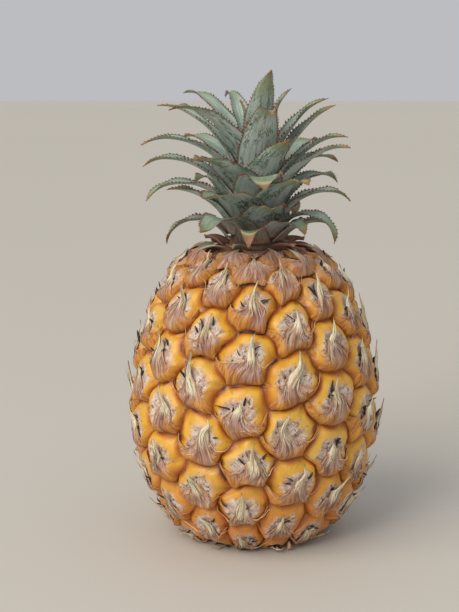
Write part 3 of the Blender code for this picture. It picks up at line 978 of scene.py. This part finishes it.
class Bract:
    """One eye's bract as a sheet: across runs from side to side, and along from its foot to its free edge."""

    def __init__(self, eye, on_eye=True, spread=1.0, sunk=0.0):
        chance = eye.chance
        self.sunk = sunk
        self.eye = eye
        self.on_eye = on_eye
        self.spread = spread
        self.lean = chance.uniform(-0.10, 0.10)
        self.sag = (chance.uniform(0.75, 1.25), chance.uniform(0.75, 1.25))
        self.peel = chance.uniform(0.3, 1.4) * MM
        self.spine = chance.uniform(0.82, 1.08)
        self.out = SPINE_OUT * chance.uniform(0.5, 1.15)
        if not on_eye:
            self.spine *= chance.uniform(0.35, 0.8)
            self.out *= 0.3
        self.twist = chance.uniform(-0.22, 0.22)
        self.edge = np.array(BRACT_EDGE)
        self.cling = [chance.random() < 0.55 for _ in "lr"]
        self.keel_width = LARGE_KEELS.get(eye.index, chance.uniform(0.8, 1.25))
        self.spine *= 1.25 if eye.index in LARGE_KEELS else 1.0
        self.jags = [chance.gauss(0.0, BRACT_JAGS) for _ in SIDE_COLUMNS]
        if chance.random() < WORN_KEELS and eye.index not in LARGE_KEELS:
            self.spine *= chance.uniform(0.35, 0.7)

    def keel_spread(self, width):
        """How much wider than usual the keel is, fading out to nothing at the bract's sides."""
        return 1.0 + (self.keel_width - 1.0) * smooth_step(width, 0.6, 0.2)

    def flat(self, across, along):
        """The sheet laid flat on the eye's own map."""
        eye = self.eye
        angle = -math.pi / 2 + across * math.radians(86.0)
        direction = np.stack([np.cos(angle), np.sin(angle)], axis=-1)
        foot = direction * (0.99 / eye.share(direction))[..., None]
        width = np.abs(across)
        height = np.interp(width, self.edge[:, 0] * self.keel_spread(self.edge[:, 0]), self.edge[:, 1])
        height = np.where(height > 0.12, height * self.spine, height)
        sag = np.where(across < 0, self.sag[0], self.sag[1])
        height = np.where(height < 0, height * sag, height)
        side = np.where(across < 0, eye.reach(math.pi), eye.reach(0.0))
        free = smooth_step(width, 1.0, 0.5) * smooth_step(width, 0.0, 0.05)
        height = height + np.interp(across, SIDE_COLUMNS, self.jags) * free
        climb = np.maximum(height, 0.0)
        shift = (self.lean + self.twist * climb) * eye.half_width * (1 - width)
        top = np.stack([across * side * 0.96 + shift, height * eye.half_height], axis=-1)
        return (foot + (top - foot) * along[..., None]) * (self.spread, 1.0)

    def points(self, across, along, proud=0.0):
        """The sheet in place on the fruit."""
        eye = self.eye
        flat = self.flat(across, along)
        share = np.minimum(eye.share(flat), 1.0)
        if self.on_eye:
            base = eye_lift(eye, flat, share)
        else:
            base = (0.2 - 2.2 * (1 - along) ** 2) * MM - self.sunk
        up = flat[..., 1] / eye.half_height
        base = np.where(up > 0.3, np.maximum(base, -0.8 * MM), base)
        width = np.abs(across)
        belly = 0.75 * MM * np.sin(math.pi * along) * (1 - width**2)
        lift = base + 0.25 * MM * along + belly
        lift = lift + KEEL_RIDGE * np.exp(-((across / 0.14) ** 2)) * smooth_step(along, 0.15, 0.6)
        peeled = smooth_step(along, 0.8, 1.0) * smooth_step(width, 0.15, 0.3) * (1 - width**3)
        lift = lift + self.peel * peeled
        lift = lift + self.out * np.clip(up - 0.05, 0.0, 1.2) ** 1.4
        if self.on_eye:
            clings = np.where(across < 0, *self.cling)
            lift = lift - BRACT_SINK * clings * smooth_step(width, 0.38, 0.62)
        return eye.place(flat, lift + proud)


def build_bracts(finish, indices, name, on_eye=True, spread=1.0, sunk=0.0):
    """The bracts of several eyes, as one piece."""
    across, along = np.meshgrid(SIDE_COLUMNS, np.linspace(0.0, 1.0, BRACT_ROWS + 1))
    verts, faces, maps, seeds = [], [], [], []
    bracts = []
    for index in indices:
        eye = Eye(index)
        bract = Bract(eye, on_eye, spread, sunk)
        bracts.append(bract)
        first = len(verts)
        points = bract.points(across.ravel(), along.ravel())
        up = bract.flat(across.ravel(), along.ravel())[:, 1] / eye.half_height
        verts += list(points)
        maps += list(zip(across.ravel(), along.ravel(), up))
        seeds += [eye.seed] * len(points)
        wide = len(SIDE_COLUMNS)
        for row in range(BRACT_ROWS):
            for column in range(wide - 1):
                corner = first + row * wide + column
                faces.append((corner, corner + 1, corner + wide + 1, corner + wide))
    piece = new_piece(name, verts, faces, [finish], {"bract": maps, "bract_seed": seeds})
    return thicken(piece, BRACT_THICKNESS, -1.0), bracts


def build_fibres(tree, finish, bracts):
    """Hairs that run up each bract and close in on its keel, and the rolled strand along its free edge."""
    paths, thickness, tone = [], [], []
    steps = np.linspace(0.0, 1.0, FIBRE_STEPS + 1)
    rolled = np.linspace(0.0, 1.0, EDGE_STRAND_STEPS + 1)
    for bract in bracts:
        chance = random.Random(5000 + bract.eye.index)
        for _ in range(FIBRES_PER_BRACT):
            start = chance.gauss(0.0, 0.26)
            end = start * chance.choice((0.2, 0.4, 0.6, 0.8, 1.4, 1.8))
            low = chance.uniform(0.35, 0.7)
            high = min(low + chance.uniform(0.15, 0.45), 0.98)
            shade = chance.choice((0.0, 0.1, 0.3, 0.5, 0.9, 1.0))
            fray = chance.uniform(0.0, 1.5) * MM if chance.random() < 0.5 else 0.0
            across = start + (end - start) * steps**0.8
            along = low + (high - low) * steps
            points = bract.points(across, along, 0.05 * MM)
            points += np.array(outward(points[-1])) * (fray * steps**3)[:, None]
            paths.append(points)
            wide = chance.uniform(0.06, 0.14) * MM
            thickness += list((1 - 0.8 * abs(2 * steps - 0.7) ** 2).clip(0.15, 1.0) * wide)
            tone += [shade] * len(steps)
        for side in (-1.0, 1.0):
            if chance.random() < EDGES_WITHOUT_STRAND:
                continue
            low_down = smooth_step(bract.eye.arc, LONG_STRANDS_BELOW, 0.0)
            reach = chance.uniform(0.8, 1.2) + 0.35 * low_down
            flat = bract.flat(side * (0.16 + (reach - 0.16) * rolled), np.full(len(rolled), 0.99))
            over = np.maximum(eye_lift(bract.eye, flat, np.minimum(bract.eye.share(flat), 1.0)), -0.7 * MM)
            bow = chance.uniform(0.2, 1.0) * np.sin(math.pi * rolled)
            points = bract.eye.place(flat, over + (0.55 + bow) * MM)
            paths.append(points)
            wide = chance.uniform(0.15, 0.36) * MM
            thickness += list(wide * (1 - 0.6 * abs(2 * rolled - 1) ** 2) * (1 - 0.6 * rolled**2))
            tone += [chance.choice((0.45, 0.5, 0.55, 0.75))] * len(rolled)
    radius, height = np.array(WITHERED_MM).T * MM
    sideways, forwards = math.sin(WITHERED_AZIMUTH), -math.cos(WITHERED_AZIMUTH)
    paths.append(np.stack([radius * sideways, radius * forwards, height], axis=-1))
    thickness += [size * MM for size in WITHERED_THICKNESS_MM]
    tone += [0.6] * len(WITHERED_MM)
    given = {"Sides": 3, "Flatness": 0.7, "Finish": finish}
    mesh = grow("bract_fibres", tree, paths, {"thickness": thickness, "tone": tone}, given)
    return add_to_body(piece_of(mesh, "bract_fibres"), "fruit_skin")


def outward(point):
    flat = np.array([point[0], point[1], 0.0])
    return flat / np.linalg.norm(flat)


def build_florets(tree, finish, bracts):
    """Black shrivelled floret strips that stick up beside the keels of some bracts."""
    paths, thickness = [], []
    steps = np.linspace(0.0, 1.0, FLORET_STEPS + 1)
    for bract in bracts:
        chance = random.Random(9000 + bract.eye.index)
        for _ in range(chance.choice(FLORETS_ON_A_BRACT)):
            eye = bract.eye
            side = chance.choice((-1, 1))
            start = np.array([side * chance.uniform(0.04, 0.34), chance.uniform(-0.15, 0.25)])
            heading = math.radians(90 - side * chance.uniform(-10, 65))
            bend = chance.uniform(-0.9, 0.9)
            length = chance.uniform(0.22, 0.58)
            angle = heading + bend * steps
            walk = np.stack([np.cos(angle), np.sin(angle)], axis=1) * length / len(steps)
            flat = (start + np.cumsum(walk, axis=0)) * (eye.half_width, eye.half_height)
            share = np.minimum(eye.share(flat), 1.0)
            lift = eye_lift(eye, flat, share) + (0.3 + chance.uniform(0.4, 2.2) * steps**1.5) * MM
            paths.append(eye.place(flat, lift))
            wide = chance.uniform(0.45, 0.95) * MM
            thickness += list(wide * (1 - 0.75 * steps**2) * (0.55 + 0.45 * np.minimum(steps * 4, 1)))
    given = {"Sides": 5, "Flatness": 0.55, "Finish": finish}
    mesh = grow("dry_florets", tree, paths, {"thickness": thickness}, given)
    return add_to_body(piece_of(mesh, "dry_florets"), "fruit_skin")


# ---------------------------------------------------------------- the crown


def level_at(level):
    """Base radius and height, start and end lean, and length of the curve of a leaf at that level."""
    for low, high in zip(LEVELS, LEVELS[1:]):
        if level <= high[0]:
            share = (level - low[0]) / (high[0] - low[0])
            radius, height, start, end, length = (a + (b - a) * share for a, b in zip(low[1:], high[1:]))
            return radius * MM, height * MM, math.radians(start), math.radians(end), length * MM
    return level_at(LEVELS[-1][0])


class Leaf:
    """A crown leaf, on its own surface of revolution round the fruit's axis."""

    def __init__(self, number):
        azimuth, length_share, half_width, drift, extra_lean = LEAVES[number - 1]
        self.number = number
        self.level = (number - 1) / (len(LEAVES) - 1) * LEVELS[-1][0]
        radius, height, start, end, length = level_at(self.level)
        self.azimuth = math.radians(azimuth)
        self.drift = math.radians(drift)
        self.half_width = half_width * MM * (BROAD_WIDENING if number in BROAD_LEAVES else LEAF_WIDENING)
        self.length = length * length_share
        self.chance = random.Random(300 + number)
        self.seed = self.chance.random()
        curl = math.radians(CURLED_TIPS.get(number, self.chance.uniform(0, 22)))
        shares = np.linspace(0.0, 1.0, LEAF_ROWS + 1)
        step = self.length / LEAF_ROWS
        even = start + (end + math.radians(extra_lean) - start) * shares * length_share
        self.lean = even + curl * smooth_step(shares, TIP_CURL_FROM, 1.0)
        middle = (self.lean[1:] + self.lean[:-1]) / 2
        self.radius = radius + np.concatenate([[0.0], np.cumsum(np.sin(middle)) * step])
        self.height = CROWN_FOOT + height + np.concatenate([[0.0], np.cumsum(np.cos(middle)) * step])
        self.shares = shares

    def half_width_at(self, share):
        taper = np.maximum(1.0 - share, 0.0) ** 0.85 * (1.0 + 0.4 * share)
        return self.half_width * np.maximum(taper, 0.02)

    def points(self, across, share, lift=0.0):
        """Points on the leaf's middle surface, lifted towards its inner face."""
        radius = np.interp(share, self.shares, self.radius)
        height = np.interp(share, self.shares, self.height)
        lean = np.interp(share, self.shares, self.lean)
        half_angle = np.minimum(
            self.half_width_at(share) / np.maximum(radius, 2 * MM), LEAF_WRAP + share * LEAF_WRAP_GROWTH
        )
        width = half_angle * radius
        deepest = np.minimum(LEAF_CHANNEL, 0.42 * width) * smooth_step(share, 0.05, 0.45)
        channel = deepest * np.abs(across) ** 1.8
        ripple = 0.35 * MM * np.sin(share * 21 + self.seed * 9) * across * smooth_step(share, 0.2, 0.5)
        rise = channel + ripple + lift
        angle = self.azimuth + self.drift * share**2 + across * half_angle
        radius = radius - np.cos(lean) * rise
        return np.stack(
            [radius * np.sin(angle), -radius * np.cos(angle), height + np.sin(lean) * rise], axis=-1
        )

    def thickness(self, across, share):
        return LEAF_THICKNESS * (1 - 0.86 * np.abs(across) ** 1.6) * (1 - 0.6 * share)


def leaf_mesh(leaf, blade, margin):
    """A leaf as a closed blade: each row is a ring over its inner face and back under its outer one."""
    columns = np.linspace(-1.0, 1.0, LEAF_COLUMNS + 1)
    ring_across = np.concatenate([columns, columns[-2:0:-1]])
    ring_side = np.concatenate([np.ones(LEAF_COLUMNS + 1), -np.ones(LEAF_COLUMNS - 1)])
    ring_side[[0, LEAF_COLUMNS]] = 0.0
    verts, faces, maps = [], [], []
    count = len(ring_across)
    for share in leaf.shares:
        shares = np.full(count, share)
        lift = ring_side * leaf.thickness(ring_across, shares) / 2
        verts += list(leaf.points(ring_across, shares, lift))
        maps += list(zip(ring_across, shares, ring_side))
    for row in range(LEAF_ROWS):
        for i in range(count):
            j = (i + 1) % count
            start = row * count
            faces.append((start + i, start + count + i, start + count + j, start + j))
    faces.append(tuple(range(count)))
    faces.append(tuple(reversed(range(LEAF_ROWS * count, LEAF_ROWS * count + count))))
    age = max(0.0, 1.0 - leaf.level / OLD_BELOW) ** 1.2
    piece = new_piece(
        f"crown_leaf_{leaf.number:02d}_blade",
        verts,
        faces,
        [blade, margin],
        {
            "leaf": maps,
            "leaf_seed": [leaf.seed] * len(verts),
            "leaf_age": [age] * len(verts),
            "leaf_dry": [DRY_TIPS.get(leaf.number, 0.0)] * len(verts),
        },
    )
    return turn_outwards(piece)


def leaf_teeth(leaf, tree, finish):
    """Hooked teeth along both margins of a leaf."""
    shares = np.linspace(TEETH_FROM, TEETH_TO, 26)
    paths, aims, sizes = [], [], []
    for side in (-1.0, 1.0):
        margin = leaf.points(np.full(len(shares), side), shares)
        inner = leaf.points(np.full(len(shares), side * 0.85), shares)
        out = margin - inner
        out /= np.linalg.norm(out, axis=1)[:, None]
        forward = np.gradient(margin, axis=0)
        forward /= np.linalg.norm(forward, axis=1)[:, None]
        paths.append(margin)
        aims += list(out + 0.8 * forward)
        sizes += list(0.55 + 0.45 * np.sin(math.pi * np.clip(shares * 1.1, 0, 1)))
    given = {"Spacing": TOOTH_SPACING, "Length": TOOTH_LENGTH, "Seed": leaf.number, "Finish": finish}
    return grow("teeth", tree, paths, {"aim": aims, "size": sizes}, given)


def join_mesh(piece, mesh, finish_index):
    """Adds another mesh to a piece, with one of the piece's own finishes."""
    bm = bmesh.new()
    bm.from_mesh(mesh)
    for face in bm.faces:
        face.material_index = finish_index
        face.smooth = False
    bm.from_mesh(piece.data)
    bm.to_mesh(piece.data)
    bm.free()
    return piece


def build_crown(finish, tooth, tree):
    for number in range(1, len(LEAVES) + 1):
        leaf = Leaf(number)
        piece = leaf_mesh(leaf, finish, tooth)
        join_mesh(piece, leaf_teeth(leaf, tree, tooth), 1)
        add_to_body(piece, "crown_leaf", f"crown_leaf_{number:02d}")


# ---------------------------------------------------------------- the collar


def build_collar(dry, leafy):
    """Bracts round the crown's foot, standing up and spreading outwards. Some are still green."""
    for number in range(COLLAR_COUNT):
        chance = random.Random(700 + number)
        azimuth = COLLAR_FIRST_AZIMUTH + number * 2 * math.pi / COLLAR_COUNT + chance.uniform(-0.1, 0.1)
        length = chance.uniform(7.5, 12.0) * MM
        half_width = chance.uniform(4.5, 7.0) * MM
        inner = number % 2  # every other bract stands inside its neighbours and leans out less
        end_lean = math.radians(chance.uniform(100, 116) if inner else chance.uniform(134, 150))
        columns, rows = np.linspace(-1, 1, COLLAR_COLUMNS + 1), np.linspace(0, 1, COLLAR_ROWS + 1)
        across, share = (grid.ravel() for grid in np.meshgrid(columns, rows))
        rate = (end_lean - COLLAR_START_LEAN) / length
        lean = COLLAR_START_LEAN + (end_lean - COLLAR_START_LEAN) * share
        root_radius = COLLAR_RADIUS - (2.8 if inner else 1.9) * MM
        root_height = COLLAR_HEIGHT - (0.9 if inner else 1.9) * MM
        radius = root_radius + (math.cos(COLLAR_START_LEAN) - np.cos(lean)) / rate
        height = root_height + (np.sin(lean) - math.sin(COLLAR_START_LEAN)) / rate
        taper = np.maximum(1 - share, 0.0) ** 0.6 * (1 + 0.5 * share)
        half = half_width * np.maximum(taper, 0.03)
        rise = 1.0 * MM * np.abs(across) ** 2 - 0.5 * MM * np.exp(-((across / 0.2) ** 2))
        rise += 0.4 * MM * np.sin(across * 5 + chance.uniform(0, 6)) * share
        angle = azimuth + across * half / radius + chance.uniform(-0.15, 0.15) * share**2
        radius = radius - np.cos(lean) * rise
        height = height + np.sin(lean) * rise
        verts = np.stack([radius * np.sin(angle), -radius * np.cos(angle), height], axis=-1)
        wide = COLLAR_COLUMNS + 1
        faces = [
            (row * wide + i, row * wide + i + 1, (row + 1) * wide + i + 1, (row + 1) * wide + i)
            for row in range(COLLAR_ROWS)
            for i in range(COLLAR_COLUMNS)
        ]
        maps = list(zip(across, share, share * 1.8 - 0.9))
        name = f"collar_bract_{number + 1:02d}"
        finish = leafy if number in GREEN_COLLAR else dry
        attributes = {"bract": maps, "bract_seed": [chance.random()] * len(verts)}
        piece = new_piece(name + "_sheet", verts, faces, [finish], attributes)
        thicken(piece, COLLAR_THICKNESS)
        add_to_body(piece, "collar_bract", name)


# ---------------------------------------------------------------- floor, light and camera


def build_stage():
    corners = [(x * FLOOR_HALF, y * FLOOR_HALF, 0.0) for x, y in ((-1, -1), (1, -1), (1, 1), (-1, 1))]
    floor = new_piece("floor", corners, [(0, 1, 2, 3)], [floor_finish()])
    world = bpy.data.worlds.new("studio")
    bpy.context.scene.world = world
    world.use_nodes = True
    background = world.node_tree.nodes["Background"]
    background.inputs["Color"].default_value = paint("BBBDC1")
    background.inputs["Strength"].default_value = 1.0


def add_light(name, kind, spot, aim, power, colour, softness):
    light = bpy.data.lights.new(name, kind)
    light.energy = power
    light.color = paint(colour)[:3]
    if kind == "SUN":
        light.angle = softness
    else:
        light.size = softness
    lamp = bpy.data.objects.new(name, light)
    bpy.context.scene.collection.objects.link(lamp)
    direction = Vector(aim) - Vector(spot)
    lamp.matrix_world = Matrix.Translation(spot) @ direction.to_track_quat("-Z", "Y").to_matrix().to_4x4()


def build_lights():
    low, high = cad_bounds
    middle = (low + high) / 2
    add_light("key", "SUN", (-1.1, -1.0, 1.5), middle, 1.55, "FFF4E4", math.radians(50.0))
    add_light("sheen", "AREA", (-0.5, -0.9, 0.6), middle, 3.0, "F4F7FF", 0.35)


def build_camera():
    low, high = cad_bounds
    aim = Vector((0.0, 0.0, (low.z + high.z) / 2 - CAMERA_DROP))
    camera = bpy.data.cameras.new("camera")
    camera.lens = CAMERA_LENS
    camera.sensor_fit = "VERTICAL"
    camera.sensor_height = 36.0
    camera.shift_x = CAMERA_SHIFT
    holder = bpy.data.objects.new("camera", camera)
    bpy.context.scene.collection.objects.link(holder)
    back = Vector((0.0, -math.cos(CAMERA_ELEVATION), math.sin(CAMERA_ELEVATION)))
    spot = aim + back * CAMERA_DISTANCE
    holder.matrix_world = Matrix.Translation(spot) @ (-back).to_track_quat("-Z", "Y").to_matrix().to_4x4()
    bpy.context.scene.camera = holder
    bpy.context.scene.view_settings.view_transform = "Standard"


# ---------------------------------------------------------------- the pineapple


def main():
    build_camera()
    build_lights()
    build_stage()
    strands = strand_tree()
    bract = bract_finish("eye_bract", 0.0, 0.92, 0.95)
    shoulder_bract = bract_finish("shoulder_bract", 0.15, 0.7, 0.5)
    build_skin([rind_finish(), stalk_finish(), scar_finish()])
    eye_bracts, bracts = build_bracts(bract, range(EYE_COUNT), "eye_bracts")
    add_to_body(eye_bracts, "fruit_skin")
    above = range(EYE_COUNT, EYE_COUNT + SHOULDER_BRACTS)
    shoulder, _ = build_bracts(shoulder_bract, above, "shoulder_bracts", False, SHOULDER_SPREAD)
    add_to_body(shoulder, "collar_bract")
    below = range(-FOOT_BRACTS, 0)
    foot, _ = build_bracts(shoulder_bract, below, "foot_bracts", False, FOOT_SPREAD, FOOT_SUNK)
    add_to_body(foot, "fruit_skin")
    build_fibres(strands, fibre_finish(), bracts)
    build_florets(strands, floret_finish(), bracts)
    dry = bract_finish("collar_bract", 0.75, 0.2, 0.35)
    build_collar(dry, bract_finish("green_collar_bract", 0.3, 0.2, 0.35, 0.85))
    build_crown(leaf_finish(), tooth_finish(), tooth_tree())
    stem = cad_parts["crown_stem"]
    stem.data.materials.clear()
    stem.data.materials.append(stem_finish())


main()
